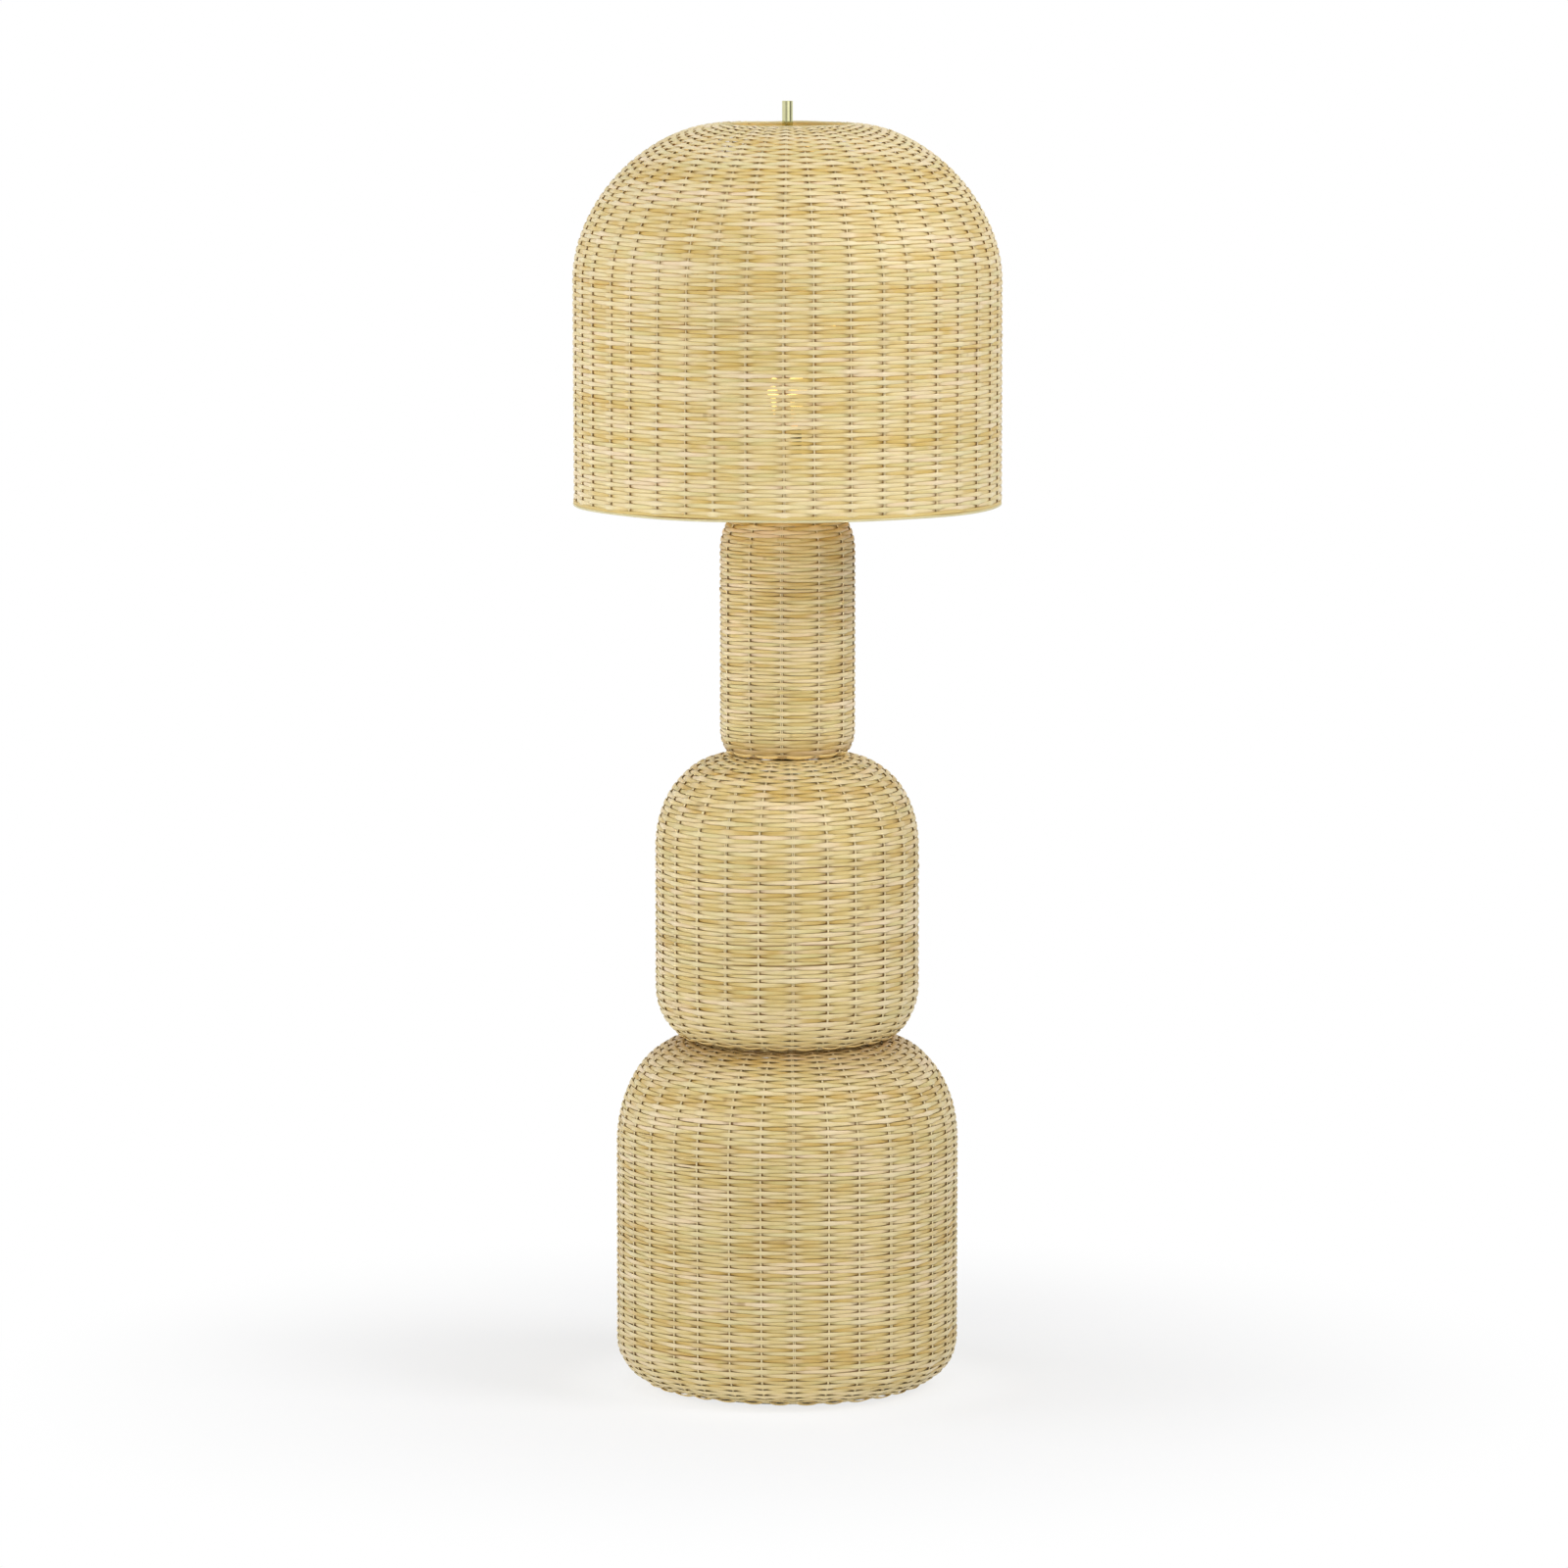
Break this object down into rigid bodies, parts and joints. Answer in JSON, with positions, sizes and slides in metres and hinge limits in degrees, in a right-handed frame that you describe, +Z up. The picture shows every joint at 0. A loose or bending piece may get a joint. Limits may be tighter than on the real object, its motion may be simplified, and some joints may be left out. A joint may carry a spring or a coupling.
{
  "type": "rattan floor lamp",
  "caption": "Floor lamp of stacked hollow woven rattan drums on a steel tube, with a woven dome shade held on a harp by a rod finial.",
  "frame": {"origin": "on the floor, at the middle of the base", "axes": "+Z up along the tube, +Y to the back where the cord inlet is, +X to the right"},
  "size_m": [0.503, 0.503, 1.5164],
  "materials": {
    "rattan": "satin peeled rattan strip in plain weave",
    "shade_rattan": "satin peeled rattan strip in plain weave, slightly translucent",
    "cane_binding": "smooth satin split cane",
    "frame_wire": "matt straw paint on welded wire",
    "tube_steel": "plain drawn steel",
    "weight_iron": "black paint",
    "felt": "pressed felt",
    "brass": "satin brass plate",
    "finial_metal": "polished pale brass",
    "dark_plastic": "matt moulded",
    "card": "plain insulating card",
    "bulb_metal": "satin",
    "bulb_glass": "frosted warm white, lit"
  },
  "bodies": {
    "stand": {"base_felt": "felt", "base_plate": "weight_iron", "tube_flange": "tube_steel", "flange_screw_1": "tube_steel", "flange_screw_2": "tube_steel", "flange_screw_3": "tube_steel", "cord_bushing": "dark_plastic", "base_frame": "frame_wire", "base_weave": "rattan", "middle_frame": "frame_wire", "middle_weave": "rattan", "neck_frame": "frame_wire", "neck_weave": "rattan", "tube_lower": "tube_steel", "tube_middle": "tube_steel", "tube_upper": "tube_steel", "coupler_lower": "tube_steel", "coupler_upper": "tube_steel", "neck_cap": "brass", "tube_reducer": "brass", "threaded_stem": "brass", "stem_nut": "brass", "harp_saddle": "brass", "socket_cap": "brass", "socket_shell": "brass", "socket_liner": "card", "socket_block": "dark_plastic", "socket_screw_shell": "brass"},
    "switch": {"switch_knob": "dark_plastic"},
    "bulb": {"bulb_cap": "bulb_metal", "bulb_glass": "bulb_glass"},
    "harp": {"harp": "brass"},
    "sleeve_left": {"harp_sleeve_left": "brass"},
    "sleeve_right": {"harp_sleeve_right": "brass"},
    "shade": {"shade_spider": "frame_wire", "shade_frame": "frame_wire", "shade_weave": "shade_rattan", "shade_rim_band": "cane_binding"},
    "finial": {"finial": "finial_metal"}
  },
  "joints": [
    {"name": "switch_turn", "type": "hinge", "parent": "stand", "child": "switch", "pos_m": [0, -0.025, 1.1015], "axis": [0, -1, 0], "continuous": true},
    {"name": "bulb_draw", "type": "slide", "parent": "stand", "child": "bulb", "axis": [0, 0, 1], "range_m": [0, 0.03]},
    {"name": "harp_lift", "type": "slide", "parent": "stand", "child": "harp", "axis": [0, 0, 1], "range_m": [0, 0.12]},
    {"name": "sleeve_left_slide", "type": "slide", "parent": "harp", "child": "sleeve_left", "axis": [0, 0, 1], "range_m": [0, 0.012]},
    {"name": "sleeve_right_slide", "type": "slide", "parent": "harp", "child": "sleeve_right", "axis": [0, 0, 1], "range_m": [0, 0.012]},
    {"name": "shade_lift", "type": "slide", "parent": "harp", "child": "shade", "axis": [0, 0, 1], "range_m": [0, 0.46]},
    {"name": "finial_turn", "type": "hinge", "parent": "shade", "child": "finial", "pos_m": [0, 0, 1.5], "axis": [0, 0, 1], "continuous": true}
  ]
}
